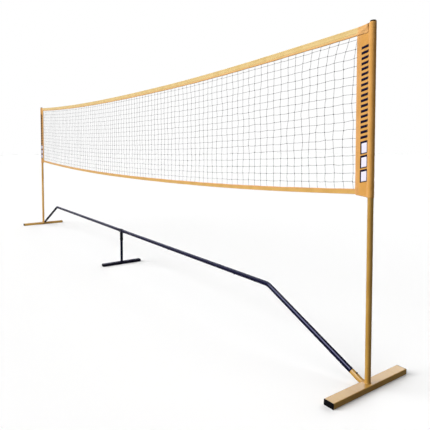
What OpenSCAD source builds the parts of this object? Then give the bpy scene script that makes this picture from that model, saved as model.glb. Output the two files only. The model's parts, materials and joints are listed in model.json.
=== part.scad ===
// Portable badminton net: two end stands joined by a raised spine, a centre support and a sleeved net.
// Millimetres, +Z up. X runs along the net, Y across it. The origin is on the floor, under the net's middle.

/* [Overall] */
// Distance between the two post axes
post_span = 5180; // [4600:10:6200]
// Height of the post tops, caps included
post_h = 1568; // [1450:1:1700]

/* [Tube] */
// Outer diameter of the posts and the spine
tube_d = 25.4; // [24:0.1:28]
// Wall thickness of the round tubes
tube_wall = 1.2; // [1:0.1:1.3]
// Length of a tube's necked end, which sits inside the next tube
neck_l = 58; // [50:1:58]
// Radial clearance between a neck and its socket
neck_gap = 0.1; // [0.05:0.01:0.1]

/* [End stands] */
// Length of an end foot bar, across the net line
foot_l = 500; // [400:5:600]
// Width of an end foot bar
foot_w = 50; // [44:1:60]
// Height of an end foot bar
foot_h = 25; // [24:1:30]
// Wall thickness of the foot bars
foot_wall = 1.5; // [1.2:0.1:2]
// Height of the upright post stub above the foot bar
post_stub_h = 65; // [64:1:90]
// Length of the slanted spine stub, from the foot bar to its mouth
spine_stub_l = 66; // [66:1:90]
// Height of the lower post's full-width part
lower_post_l = 755; // [700:1:760]

/* [Spine] */
// Height of the level part of the spine's axis
spine_h = 297; // [260:1:340]
// Slope of the slanted part, in degrees
spine_slope = 24.5; // [22:0.5:27]
// Radius of the bend, at the tube's axis
bend_r = 90; // [80:5:120]
// Distance from the middle to the joint between the bent and outer tubes
outer_joint_x = 1620; // [1500:10:1700]
// Distance from the middle to the joint between the outer and inner tubes
inner_joint_x = 820; // [700:10:900]

/* [Snap buttons] */
// Diameter of a snap button
button_d = 8; // [7:0.1:9]
// How far a button stands out of its tube
button_out = 4; // [2:0.1:4]
// How far a button is from the mouth of its socket
button_at = 25; // [24:1:34]

/* [Centre support] */
// Length of the tee's collar along the spine
tee_l = 38; // [36:1:50]
// Diameter of the tee's collar
tee_d = 29; // [28:0.5:32]
// How far the tee's downward socket reaches below the spine's axis
tee_drop = 84; // [80:1:100]
// Diameter of the centre leg
leg_d = 22.2; // [20:0.1:22.4]
// Length of the centre foot, end caps included
centre_foot_l = 360; // [300:5:420]
// Width of the centre foot
centre_foot_w = 40; // [36:1:50]
// Height of the centre foot
centre_foot_h = 22; // [20:1:25]

/* [Net] */
// Height of the top tape's middle line, halfway between the posts
top_mid_h = 1470; // [1380:1:1500]
// Height of the bottom tape's middle line, halfway between the posts
bottom_mid_h = 785; // [720:1:800]
// How much the tapes rise from the middle to the posts
tape_rise = 70; // [40:1:70]
// Width of the top tape
top_tape_w = 36; // [30:1:40]
// Width of the bottom tape
bottom_tape_w = 23; // [18:1:26]
// Thickness of a folded tape
tape_t = 5; // [5:0.1:6]
// Thickness of the mesh panel
mesh_t = 0.8; // [0.6:0.1:1]
// Distance from the post axis to the mesh edge, the width of a sleeve's flat band
sleeve_band_w = 79; // [60:1:90]

/* [Hidden] */
$fn = 48;
fine = 96;
post_x = post_span / 2;
tube_r = tube_d / 2;
tube_in = tube_r - tube_wall;
neck_r = tube_in - neck_gap;
neck_in = neck_r - tube_wall;
neck_taper = 5;
seat_gap = 0.3;

// End stands
foot_x = post_x - foot_w / 2;
foot_corner_r = 3;
plug_face_t = 2.5;
plug_gap = 0.15;
plug_l = 16;
plug_wall = 2;
stub_top = foot_h + post_stub_h;
root_lift = 1.1;
root_z = tube_r / cos(spine_slope) + root_lift;
weld_r = 2.4;

// Posts
post_mouth = stub_top + lower_post_l;
cap_h = 6;
cap_plug_l = 14;
cap_rim = 0.3;

// Spine: the bend's centre lies under the axis, and the slanted part runs down to the foot bar's inner face
bend_x = foot_x - bend_r * sin(spine_slope) - slant_run() * cos(spine_slope);
bend_z = spine_h - bend_r;
bend_lap = 1;
bend_draw = 0.1;
tee_half = tee_l / 2;

// Snap buttons, measured from the tube's axis
button_r = button_d / 2;
button_top = tube_r + button_out;
button_foot = 7.6;
flange_r = button_r + 1.3;
flange_t = 0.8;
hole_r = button_r + 0.1;
button_round = 2.4;
spring_t = 0.8;
spring_w = 7.6;
spring_high = button_foot - 0.02;
spring_low = neck_in - 0.9;
spring_back = 36;
spring_pad = 6;
spring_bend_r = 3.6;

// Centre support
leg_r = leg_d / 2;
leg_wall = 1.2;
tee_bore_r = leg_r + neck_gap;
tee_socket_r = leg_r + 2.1;
tee_floor_drop = 25;
tee_floor = spine_h - tee_floor_drop;
tee_lip = 0.8;
tee_lip_w = 4;
nose_l = 9;

// Net: the tapes hang in arcs that end at the sleeves
mesh_x = post_x - sleeve_band_w;
arc_r = (mesh_x * mesh_x + mesh_rise() * mesh_rise()) / (2 * mesh_rise());
arc_steps = 32;
tape_wall = 1;
cord_d = 2.4;
cord_sides = 8;
cord_gap = 0.3;
cord_end = 6;
pocket_in = tube_r + 0.8;
pocket_out = pocket_in + 1.1;
band_t = 2.4;
sleeve_top_drop = 7;
sleeve_top = post_h - sleeve_top_drop;
sleeve_hang = 8;
sleeve_bottom = arc_z(bottom_mid_h, mesh_x) - bottom_tape_w / 2 - sleeve_hang;
hem_drop = 6;
hem_corner = 10;

// Length of the slanted part, from the end of the bend to the foot bar's inner face
function slant_run() =
    (spine_h - bend_r * (1 - cos(spine_slope)) - root_z) / sin(spine_slope);

// Rise of a tape between the middle and the mesh edge
function mesh_rise() = tape_rise * pow(mesh_x / post_x, 2);

// Height at x of a tape's line whose middle is at mid
function arc_z(mid, x) = mid + arc_r - sqrt(arc_r * arc_r - x * x);

// Points of the line a given height above an arc, from x = -reach to x = reach
function arc_points(mid, shift, reach) =
    [for (i = [0 : arc_steps]) let (x = reach * (2 * i / arc_steps - 1)) [x, arc_z(mid, x) + shift]];

function reversed(list) = [for (i = [len(list) - 1 : -1 : 0]) list[i]];

// Draws its children on the right, or mirrored on the left
module side(left) {
    if (left) mirror([1, 0, 0]) children();
    else children();
}

module ring(r_out, r_in) {
    difference() {
        circle(r = r_out);
        circle(r = r_in);
    }
}

module rounded_bar(w, h, r) {
    square([w - 2 * r, h], center = true);
    square([w, h - 2 * r], center = true);
    for (x = [-1, 1], y = [-1, 1])
        translate([x * (w / 2 - r), y * (h / 2 - r)]) circle(r = r);
}

// Rectangular tube along Y, resting on z = 0
module box_tube(w, h, l) {
    translate([0, l / 2, h / 2]) rotate([90, 0, 0]) linear_extrude(l) difference() {
        rounded_bar(w, h, foot_corner_r);
        square([w - 2 * foot_wall, h - 2 * foot_wall], center = true);
    }
}

// Round tube up from z = 0, with its neck from z = l on
module necked_tube(l) {
    rotate_extrude($fn = fine) polygon([
        [tube_in, 0], [tube_r, 0], [tube_r, l - neck_taper], [neck_r, l], [neck_r, l + neck_l],
        [neck_in, l + neck_l], [neck_in, l], [tube_in, l - neck_taper],
    ]);
}

// Moves to a spine joint: z = 0 at the socket's mouth, +Z into the socket, +X towards its snap button
module level_joint(x) {
    translate([x, 0, spine_h]) rotate([0, 90, 0]) children();
}

// Moves to the start of the slanted part, with +Z running down along it
module slant_frame() {
    translate([bend_x, 0, bend_z]) rotate([0, spine_slope, 0]) translate([0, 0, bend_r])
        rotate([0, 90, 0]) children();
}

// Moves to the mouth of the spine stub, in the same way, with the snap button on top
module slant_joint() {
    slant_frame() translate([0, 0, slant_run() - spine_stub_l]) rotate([0, 0, 180]) children();
}

module button_hole() {
    translate([0, 0, button_at]) rotate([0, 90, 0]) cylinder(r = hole_r, h = tube_r + 1);
}

module foot_bar(left) {
    color("tan") side(left) translate([post_x, 0, 0])
        box_tube(foot_w, foot_h, foot_l - 2 * plug_face_t);
}

// Plug pressed into an open end of a foot bar, with a face that covers the bar's edges
module foot_plug(left, front) {
    plug_w = foot_w - 2 * foot_wall - 2 * plug_gap;
    plug_h = foot_h - 2 * foot_wall - 2 * plug_gap;
    color("black") side(left) translate([post_x, 0, foot_h / 2]) rotate([0, 0, front ? 0 : 180])
        translate([0, -foot_l / 2, 0]) rotate([-90, 0, 0]) {
            linear_extrude(plug_face_t) rounded_bar(foot_w, foot_h, foot_corner_r);
            translate([0, 0, plug_face_t]) linear_extrude(plug_l) difference() {
                square([plug_w, plug_h], center = true);
                square([plug_w - 2 * plug_wall, plug_h - 2 * plug_wall], center = true);
            }
        }
}

// A weld bead, drawn as half of a round section, at the base of an upright tube
module weld_section(r) {
    intersection() {
        translate([r, 0]) circle(r = weld_r, $fn = 32);
        translate([r - tube_wall / 2, 0]) square([2 * weld_r, 2 * weld_r]);
    }
}

module post_stub(left) {
    color("goldenrod") side(left) translate([post_x, 0, foot_h]) rotate_extrude($fn = fine) {
        translate([tube_in, 0]) square([tube_wall, post_stub_h]);
        weld_section(tube_r);
    }
}

// Slanted socket, notched to sit on the foot bar's inner edge
module spine_stub(left) {
    overrun = 30;
    color("goldenrod") side(left) difference() {
        slant_joint() difference() {
            linear_extrude(spine_stub_l + overrun) ring(tube_r, tube_in);
            button_hole();
        }
        translate([foot_x, -foot_w, -foot_h]) cube([2 * foot_w, 2 * foot_w, 2 * foot_h]);
        translate([post_x, 0, 0]) cylinder(r = tube_r + weld_r + 0.5, h = 2 * foot_h);
    }
}

module lower_post(left) {
    color("goldenrod") side(left) translate([post_x, 0, post_mouth]) rotate([180, 0, 0])
        necked_tube(lower_post_l - seat_gap);
}

module upper_post(left) {
    color("goldenrod") side(left) translate([post_x, 0, post_h - cap_h]) rotate([180, 0, 0])
        necked_tube(post_h - cap_h - post_mouth - seat_gap);
}

module post_cap(left) {
    dome = 1.6;
    color("black") side(left) translate([post_x, 0, post_h - cap_h]) rotate_extrude($fn = fine)
        polygon([
            [0, 0], [tube_in - 2.1, 0], [tube_in - 2.1, -cap_plug_l], [tube_in - plug_gap, -cap_plug_l],
            [tube_in - plug_gap, 0], [tube_r + cap_rim, 0], [tube_r + cap_rim, cap_h - 2 * dome],
            for (a = [15 : 15 : 90]) [tube_r + cap_rim - 2 * dome + 2 * dome * cos(a),
                cap_h - 2 * dome + 2 * dome * sin(a)],
            [0, cap_h],
        ]);
}

module bent_tube(left) {
    level_l = bend_x - outer_joint_x;
    color("midnightblue") side(left) difference() {
        union() {
            translate([bend_x, 0, spine_h]) rotate([0, -90, 0])
                linear_extrude(level_l) ring(tube_r, tube_in);
            translate([bend_x, 0, bend_z]) rotate([90, 0, 0])
                rotate([0, 0, 90 - spine_slope - bend_lap])
                rotate_extrude(angle = spine_slope + 2 * bend_lap, $fn = 4 * fine)
                translate([bend_r, 0]) ring(tube_r - bend_draw, tube_in - bend_draw);
            slant_frame() necked_tube(slant_run() - spine_stub_l);
        }
        level_joint(outer_joint_x) button_hole();
        slant_joint() button_hole();
    }
}

// Level spine tube between two joints: open inner end, necked outer end
module level_tube(left, from_x, to_x) {
    color("midnightblue") side(left) difference() {
        level_joint(from_x + seat_gap) necked_tube(to_x - from_x - seat_gap);
        level_joint(from_x) button_hole();
        level_joint(to_x) button_hole();
    }
}

module tee() {
    color("midnightblue") difference() {
        union() {
            translate([0, 0, spine_h]) rotate([0, 90, 0]) {
                cylinder(d = tee_d, h = tee_l, center = true);
                cylinder(r = neck_r, h = tee_l + 2 * neck_l, center = true);
            }
            for (s = [-1, 1]) translate([s * (tee_half - tee_lip_w / 2), 0, spine_h])
                rotate([0, 90, 0]) cylinder(d = tee_d + 2 * tee_lip, h = tee_lip_w, center = true);
            translate([0, 0, spine_h - tee_drop]) cylinder(r = tee_socket_r, h = tee_drop);
            translate([0, 0, spine_h - tee_drop])
                cylinder(r = tee_socket_r + tee_lip, h = tee_lip_w);
        }
        translate([0, 0, spine_h]) rotate([0, 90, 0])
            cylinder(r = neck_in, h = tee_l + 2 * neck_l + 2, center = true);
        translate([0, 0, spine_h - tee_drop - 1])
            cylinder(r = tee_bore_r, h = tee_floor - spine_h + tee_drop + 1);
        for (turn = [0, 180]) rotate([0, 0, turn]) level_joint(tee_half) button_hole();
    }
}

// Snap button: a round-topped pin with a flange that bears on the inside of the neck
module snap_button() {
    color("dimgray") translate([0, 0, button_at]) rotate([0, 90, 0]) rotate_extrude($fn = fine)
        polygon([
            [0, button_foot], [flange_r, button_foot], [flange_r, button_foot + flange_t],
            [button_r, button_foot + flange_t], [button_r, button_top - button_round],
            for (a = [15 : 15 : 90]) [button_r - button_round + button_round * cos(a),
                button_top - button_round + button_round * sin(a)],
            [0, button_top],
        ]);
}

// Half of the leaf spring's outline, from the tip of one leg to the bend, shifted in by the given depth
function leg_side(tip, depth) = [
    [tip - depth, button_at + spring_pad],
    [tip - depth, button_at - spring_pad],
    for (a = [0 : 15 : 90]) let (r = spring_bend_r - depth)
        [r * cos(a), button_at - spring_back - r * sin(a)],
];

function mirrored(points) = [for (p = points) [-p[0], p[1]]];

// V-shaped leaf spring: one leg under the button, the other on the far wall, joined by a round bend
module leaf_spring() {
    outer = concat(leg_side(spring_high, 0), reversed(mirrored(leg_side(spring_low, 0))));
    inner = concat(leg_side(spring_high, spring_t), reversed(mirrored(leg_side(spring_low, spring_t))));
    color("silver") rotate([90, 0, 0]) linear_extrude(spring_w, center = true)
        polygon(concat(outer, reversed(inner)));
}

module foot_button(left) { side(left) slant_joint() snap_button(); }
module bend_button(left) { side(left) level_joint(outer_joint_x) snap_button(); }
module mid_button(left) { side(left) level_joint(inner_joint_x) snap_button(); }
module tee_button(left) { side(left) level_joint(tee_half) snap_button(); }
module foot_spring(left) { side(left) slant_joint() leaf_spring(); }
module bend_spring(left) { side(left) level_joint(outer_joint_x) leaf_spring(); }
module mid_spring(left) { side(left) level_joint(inner_joint_x) leaf_spring(); }
module tee_spring(left) { side(left) level_joint(tee_half) leaf_spring(); }

module centre_leg() {
    color("midnightblue") translate([0, 0, centre_foot_h]) rotate_extrude($fn = fine) {
        translate([leg_r - leg_wall, 0])
            square([leg_wall, tee_floor - centre_foot_h - seat_gap]);
        weld_section(leg_r);
    }
}

module centre_foot() {
    color("midnightblue")
        box_tube(centre_foot_w, centre_foot_h, centre_foot_l - 2 * nose_l);
}

// A rectangle up from y = 0, with its two far corners rounded
module nose_outline(w, l, r) {
    translate([-w / 2, 0]) square([w, l - r]);
    translate([r - w / 2, 0]) square([w - 2 * r, l]);
    for (x = [-1, 1]) translate([x * (w / 2 - r), l - r]) circle(r = r);
}

// Round-nosed plug in an end of the centre foot
module centre_cap(front) {
    plug_w = centre_foot_w - 2 * foot_wall - 2 * plug_gap;
    plug_h = centre_foot_h - 2 * foot_wall - 2 * plug_gap;
    color("black") translate([0, 0, centre_foot_h / 2]) rotate([0, 0, front ? 180 : 0])
        translate([0, centre_foot_l / 2 - nose_l, 0]) {
            rotate([90, 0, 0]) linear_extrude(plug_l) square([plug_w, plug_h], center = true);
            intersection() {
                rotate([-90, 0, 0]) linear_extrude(nose_l)
                    rounded_bar(centre_foot_w, centre_foot_h, foot_corner_r);
                linear_extrude(centre_foot_h, center = true)
                    nose_outline(centre_foot_w, nose_l, nose_l - 1);
                rotate([90, 0, 90]) linear_extrude(centre_foot_w, center = true)
                    rotate([0, 0, -90]) nose_outline(centre_foot_h, nose_l, nose_l - 2);
            }
        }
}

// A sheet between two arcs, thick along Y and centred at y
module arc_sheet(low_mid, low, high_mid, high, thick, y) {
    translate([0, y + thick / 2, 0]) rotate([90, 0, 0]) linear_extrude(thick)
        polygon(concat(arc_points(low_mid, low, mesh_x), reversed(arc_points(high_mid, high, mesh_x))));
}

// Tape folded over the edge of the mesh: two walls and the fold, which is on top or below
module folded_tape(mid, w, fold) {
    for (s = [-1, 1])
        arc_sheet(mid, -w / 2, mid, w / 2, tape_wall, s * (tape_t - tape_wall) / 2);
    edge = fold * w / 2;
    inner = fold * (w / 2 - tape_wall);
    arc_sheet(mid, min(edge, inner), mid, max(edge, inner), tape_t, 0);
}

// Distance of a cord's line from the middle line of its tape
function cord_shift(w) = w / 2 - tape_wall - cord_gap - cord_d / 2;

// Round cord along an arc, swept ring by ring
module arc_cord(mid, shift) {
    line = arc_points(mid, shift, mesh_x - cord_end);
    points = [for (p = line, i = [0 : cord_sides - 1])
        let (a = 360 * i / cord_sides) [p[0], cord_d / 2 * cos(a), p[1] + cord_d / 2 * sin(a)]];
    walls = [for (k = [0 : arc_steps - 1], i = [0 : cord_sides - 1])
        let (a = k * cord_sides + i, b = k * cord_sides + (i + 1) % cord_sides)
        [a, b, b + cord_sides, a + cord_sides]];
    ends = [
        reversed([for (i = [0 : cord_sides - 1]) i]),
        [for (i = [0 : cord_sides - 1]) arc_steps * cord_sides + i],
    ];
    polyhedron(points, concat(walls, ends));
}

module net_mesh() {
    margin = cord_d + 2 * cord_gap + tape_wall;
    color("gray") arc_sheet(bottom_mid_h, margin - bottom_tape_w / 2,
        top_mid_h, top_tape_w / 2 - margin, mesh_t, 0);
}

module top_tape() { color("goldenrod") folded_tape(top_mid_h, top_tape_w, 1); }
module bottom_tape() { color("goldenrod") folded_tape(bottom_mid_h, bottom_tape_w, -1); }
module head_cord() { color("white") arc_cord(top_mid_h, cord_shift(top_tape_w)); }
module foot_cord() { color("white") arc_cord(bottom_mid_h, -cord_shift(bottom_tape_w)); }

// Outline of a sleeve seen along Y, from the mesh edge out round the post
module sleeve_outline() {
    inner_top = arc_z(top_mid_h, mesh_x) + top_tape_w / 2;
    out_x = post_x + pocket_out + 1;
    polygon([
        [mesh_x, sleeve_bottom + hem_corner], [mesh_x + hem_corner, sleeve_bottom],
        [out_x, sleeve_bottom - hem_drop], [out_x, sleeve_top], [mesh_x, inner_top],
    ]);
}

// Band sewn to the mesh and tapes, with a tube round the post, cut from one cloth
module sleeve(left) {
    color("orange") side(left) intersection() {
        linear_extrude(post_h) difference() {
            union() {
                translate([post_x, 0]) circle(r = pocket_out, $fn = fine);
                translate([mesh_x, -band_t / 2]) square([sleeve_band_w, band_t]);
            }
            translate([post_x, 0]) circle(r = pocket_in, $fn = fine);
        }
        translate([0, 2 * pocket_out, 0]) rotate([90, 0, 0])
            linear_extrude(4 * pocket_out) sleeve_outline();
    }
}

foot_bar(true);  // foot_bar_left
foot_bar(false);  // foot_bar_right
foot_plug(true, true);  // foot_plug_left_front
foot_plug(true, false);  // foot_plug_left_back
foot_plug(false, true);  // foot_plug_right_front
foot_plug(false, false);  // foot_plug_right_back
post_stub(true);  // post_stub_left
post_stub(false);  // post_stub_right
spine_stub(true);  // spine_stub_left
spine_stub(false);  // spine_stub_right
lower_post(true);  // lower_post_left
lower_post(false);  // lower_post_right
upper_post(true);  // upper_post_left
upper_post(false);  // upper_post_right
post_cap(true);  // post_cap_left
post_cap(false);  // post_cap_right
bent_tube(true);  // bent_tube_left
bent_tube(false);  // bent_tube_right
level_tube(true, inner_joint_x, outer_joint_x);  // outer_tube_left
level_tube(false, inner_joint_x, outer_joint_x);  // outer_tube_right
level_tube(true, tee_half, inner_joint_x);  // inner_tube_left
level_tube(false, tee_half, inner_joint_x);  // inner_tube_right
tee();
foot_button(true);  // foot_button_left
foot_button(false);  // foot_button_right
bend_button(true);  // bend_button_left
bend_button(false);  // bend_button_right
mid_button(true);  // mid_button_left
mid_button(false);  // mid_button_right
tee_button(true);  // tee_button_left
tee_button(false);  // tee_button_right
foot_spring(true);  // foot_spring_left
foot_spring(false);  // foot_spring_right
bend_spring(true);  // bend_spring_left
bend_spring(false);  // bend_spring_right
mid_spring(true);  // mid_spring_left
mid_spring(false);  // mid_spring_right
tee_spring(true);  // tee_spring_left
tee_spring(false);  // tee_spring_right
centre_leg();
centre_foot();
centre_cap(true);  // centre_cap_front
centre_cap(false);  // centre_cap_back
net_mesh();
top_tape();
bottom_tape();
head_cord();
foot_cord();
sleeve(true);  // sleeve_left
sleeve(false);  // sleeve_right
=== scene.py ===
import json
import math

import bpy
import numpy as np
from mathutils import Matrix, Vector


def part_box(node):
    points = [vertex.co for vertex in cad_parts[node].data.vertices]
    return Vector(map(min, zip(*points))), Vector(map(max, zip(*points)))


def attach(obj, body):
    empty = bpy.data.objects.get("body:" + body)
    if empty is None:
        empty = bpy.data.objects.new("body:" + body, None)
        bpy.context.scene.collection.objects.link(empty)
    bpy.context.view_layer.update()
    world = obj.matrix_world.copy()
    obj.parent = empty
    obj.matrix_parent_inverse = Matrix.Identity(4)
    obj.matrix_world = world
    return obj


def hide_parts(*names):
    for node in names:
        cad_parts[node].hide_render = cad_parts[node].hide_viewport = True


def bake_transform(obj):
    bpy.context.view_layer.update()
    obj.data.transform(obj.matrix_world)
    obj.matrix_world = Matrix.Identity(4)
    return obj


# Portable badminton net, in metres. +X runs along the net, +Y across it, and the floor is z = 0.
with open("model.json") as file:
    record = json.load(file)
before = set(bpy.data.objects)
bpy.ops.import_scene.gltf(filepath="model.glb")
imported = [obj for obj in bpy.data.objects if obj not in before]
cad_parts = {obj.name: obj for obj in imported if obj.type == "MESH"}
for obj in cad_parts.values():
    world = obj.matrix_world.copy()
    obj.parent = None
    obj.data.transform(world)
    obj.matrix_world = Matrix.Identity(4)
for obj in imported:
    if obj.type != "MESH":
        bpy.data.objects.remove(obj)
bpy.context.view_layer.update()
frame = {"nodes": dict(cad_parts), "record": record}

MM = 0.001
DRAW = np.random.default_rng(20)
UP = np.array([0.0, 0.0, 1.0])
ACROSS = np.array([0.0, 1.0, 0.0])
ALONG = np.array([1.0, 0.0, 0.0])
SIDES = (("left", -1), ("right", 1))

# ---------------------------------------------------------------------------
# Sizes taken from the CAD frame, and the widths and thicknesses of the cloth
# ---------------------------------------------------------------------------
post_low, post_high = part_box("upper_post_right")
POST_X = (post_low.x + post_high.x) / 2
POST_R = (post_high.y - post_low.y) / 2
FOOT_LOW, FOOT_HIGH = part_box("foot_bar_right")
MESH_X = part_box("net_mesh")[1].x
SLEEVE_LOW, SLEEVE_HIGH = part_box("sleeve_right")

TOP_TAPE_W = 36 * MM
BOTTOM_TAPE_W = 23 * MM
TAPE_CLOTH = 0.6 * MM
SLEEVE_CLOTH = 0.7 * MM


class Arc:
    """The line that a tape hangs in, halfway up the tape, worked out from its CAD node's box.

    The tape is a little slack on one side: it hangs dip lower at dip_x, and less beyond dip_wide of it.
    """

    def __init__(self, node, width, dip, dip_x, dip_wide):
        low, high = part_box(node)
        rise = high.z - low.z - width
        self.width = width
        self.dip, self.dip_x, self.dip_wide = dip, dip_x, dip_wide
        self.mid = low.z + width / 2
        self.radius = (MESH_X**2 + rise**2) / (2 * rise)

    def height(self, x):
        """The line's height at x."""
        lower = self.dip * np.exp(-(((x - self.dip_x) / self.dip_wide) ** 2))
        return self.mid + self.radius - np.sqrt(self.radius**2 - np.square(x)) - lower

    def tangent(self, x):
        """The line's direction at x, without the dip."""
        slope = x / np.sqrt(self.radius**2 - np.square(x))
        steep = np.sqrt(1 + slope**2)
        return np.stack([1 / steep, 0 * steep, slope / steep], axis=-1)


TOP = Arc("top_tape", TOP_TAPE_W, dip=4.5 * MM, dip_x=1.3, dip_wide=0.8)
BOTTOM = Arc("bottom_tape", BOTTOM_TAPE_W, dip=6 * MM, dip_x=1.9, dip_wide=1.0)


# ---------------------------------------------------------------------------
# Materials
# ---------------------------------------------------------------------------
def srgb(red, green, blue):
    """A linear colour from the 0 to 255 values of a colour picker."""
    values = [v / 255 for v in (red, green, blue)]
    linear = [v / 12.92 if v <= 0.04045 else ((v + 0.055) / 1.055) ** 2.4 for v in values]
    return (*linear, 1.0)


class Paint:
    """A Principled material, with one short call for each kind of node used here."""

    def __init__(self, name, colour, **constants):
        self.material = bpy.data.materials.new(name)
        self.material.use_nodes = True
        self.material.diffuse_color = colour
        self.tree = self.material.node_tree
        self.shader = self.tree.nodes["Principled BSDF"]
        self.shader.inputs["Base Color"].default_value = colour
        for key, value in constants.items():
            self.shader.inputs[key.replace("_", " ")].default_value = value
        self.normal = None

    def node(self, kind, inputs, **settings):
        """A new node. Each input is a constant or another node's output."""
        made = self.tree.nodes.new("ShaderNode" + kind)
        for key, value in settings.items():
            setattr(made, key, value)
        for key, value in inputs.items():
            if isinstance(value, bpy.types.NodeSocket):
                self.tree.links.new(value, made.inputs[key])
            else:
                made.inputs[key].default_value = value
        return made

    def place(self, stretch=(1, 1, 1)):
        """Position on the object, in metres, stretched by a factor along each axis."""
        where = self.node("TexCoord", {}).outputs["Object"]
        return self.node("Mapping", {"Vector": where, "Scale": stretch}).outputs["Vector"]

    def attribute(self, name):
        """The three parts of a vector stored on the mesh."""
        vector = self.node("Attribute", {}, attribute_name=name).outputs["Vector"]
        parts = self.node("SeparateXYZ", {"Vector": vector}).outputs
        return parts["X"], parts["Y"], parts["Z"]

    def noise(self, scale, detail=2.0, stretch=(1, 1, 1), rough=0.5):
        """Noise from 0 to 1, with scale lumps to the metre."""
        inputs = {"Vector": self.place(stretch), "Scale": scale, "Detail": detail, "Roughness": rough}
        return self.node("TexNoise", inputs).outputs["Fac"]

    def math(self, operation, a, b=0.0):
        return self.node("Math", {0: a, 1: b}, operation=operation).outputs["Value"]

    def steps(self, value, low, high, to_low=0.0, to_high=1.0):
        """value carried smoothly from the range low to high into the range to_low to to_high."""
        inputs = {"Value": value, "From Min": low, "From Max": high, "To Min": to_low, "To Max": to_high}
        return self.node("MapRange", inputs, interpolation_type="SMOOTHSTEP").outputs["Result"]

    def mix(self, a, b, share):
        """Colour a where share is 0, and colour b where it is 1. The numbers are the colour sockets'."""
        return self.node("Mix", {0: share, 6: a, 7: b}, data_type="RGBA").outputs[2]

    def edges(self, radius):
        """0 on a flat face and 1 on its sharp edges."""
        rounded = self.node("Bevel", {"Radius": radius}, samples=4).outputs["Normal"]
        straight = self.node("NewGeometry", {}).outputs["Normal"]
        agree = self.node("VectorMath", {0: rounded, 1: straight}, operation="DOT_PRODUCT")
        flat, sharp = 0.985, 0.8
        return self.steps(agree.outputs["Value"], flat, sharp)

    def colour(self, value):
        self.tree.links.new(value, self.shader.inputs["Base Color"])

    def rough(self, value):
        self.tree.links.new(value, self.shader.inputs["Roughness"])

    def bump(self, height, distance, strength=1.0):
        """Adds a bump of this depth on top of the ones before it."""
        inputs = {"Height": height, "Distance": distance, "Strength": strength}
        if self.normal is not None:
            inputs["Normal"] = self.normal
        self.normal = self.node("Bump", inputs).outputs["Normal"]
        self.tree.links.new(self.normal, self.shader.inputs["Normal"])


def powder_coat(name, colour, deep, bare, gloss, roughness, coat):
    """Baked powder paint on steel: an orange-peel surface, faint rubbing and small chips on edges."""
    paint = Paint(name, colour, Roughness=roughness, Coat_Weight=coat, Coat_Roughness=0.12,
                  Specular_Tint=gloss, Coat_Tint=gloss)
    clouds = paint.noise(7, 3)
    speckle = paint.noise(900, 1)
    tone = paint.mix(colour, deep, paint.steps(clouds, 0.38, 0.7, 0.0, 0.55))
    tone = paint.mix(tone, deep, paint.steps(speckle, 0.55, 0.8, 0.0, 0.35))
    rubbed = paint.noise(60, 5, (0.2, 1, 1), 0.65)
    chips = paint.math("MULTIPLY", paint.edges(1.0 * MM), paint.steps(paint.noise(190, 4), 0.5, 0.62))
    paint.colour(paint.mix(tone, bare, paint.math("MULTIPLY", chips, 0.75)))
    worn = paint.steps(rubbed, 0.45, 0.75, roughness - 0.05, roughness + 0.16)
    paint.rough(paint.math("ADD", worn, paint.math("MULTIPLY", chips, 0.15)))
    paint.bump(paint.noise(420, 2), 0.12 * MM, 0.5)
    paint.bump(rubbed, 0.05 * MM, 0.4)
    return paint.material


def moulded_plastic(name, colour, pale, roughness):
    """Moulded plastic with a fine spark-eroded grain and paler rubbed edges."""
    paint = Paint(name, colour, Roughness=roughness, Specular_IOR_Level=0.3)
    rubbed = paint.math("MULTIPLY", paint.edges(0.8 * MM), paint.steps(paint.noise(150, 3), 0.4, 0.7))
    dust = paint.steps(paint.noise(35, 4), 0.5, 0.85, 0.0, 0.15)
    paint.colour(paint.mix(paint.mix(colour, pale, dust), pale, paint.math("MULTIPLY", rubbed, 0.6)))
    paint.rough(paint.steps(paint.noise(80, 3), 0.3, 0.7, roughness - 0.08, roughness + 0.1))
    paint.bump(paint.noise(1500, 2), 0.08 * MM, 0.6)
    return paint.material


def steel(name, colour, dark, roughness):
    """Plated steel, brushed along one way and slightly stained."""
    paint = Paint(name, colour, Metallic=1.0, Roughness=roughness)
    paint.colour(paint.mix(colour, dark, paint.steps(paint.noise(260, 4), 0.4, 0.75, 0.0, 0.7)))
    lines = paint.noise(900, 3, (0.08, 1, 1))
    paint.rough(paint.steps(lines, 0.25, 0.75, roughness - 0.08, roughness + 0.15))
    paint.bump(lines, 0.03 * MM, 0.5)
    return paint.material


def woven(name, colour, worn, edge, pitch):
    """Plain-woven cloth. The weave follows the first two parts of the attribute "cloth"; where the
    third part is 0 the cloth has the edge's tint, and where it is 1 its own. On the sleeves the
    edge's tint also makes a painted highlight strip down the pocket's edge."""
    paint = Paint(name, colour, Roughness=0.8, Sheen_Weight=0.3, Sheen_Roughness=0.4,
                  Specular_IOR_Level=0.25)
    run, across, tint = paint.attribute("cloth")
    turns = 2 * math.pi / pitch
    warp = paint.math("SINE", paint.math("MULTIPLY", run, turns))
    weft = paint.math("SINE", paint.math("MULTIPLY", across, turns))
    weave = paint.math("MULTIPLY", warp, weft)
    slub = paint.noise(500, 3, (1, 1, 0.15))
    tone = paint.mix(edge, colour, tint)
    tone = paint.mix(tone, worn, paint.steps(paint.noise(14, 4), 0.35, 0.7, 0.0, 0.5))
    tone = paint.mix(tone, worn, paint.steps(weave, -0.2, 1.0, 0.0, 0.3))
    paint.colour(paint.mix(tone, worn, paint.steps(slub, 0.5, 0.75, 0.0, 0.4)))
    paint.bump(weave, 0.12 * MM, 0.6)
    paint.bump(slub, 0.1 * MM, 0.4)
    return paint.material


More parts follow.
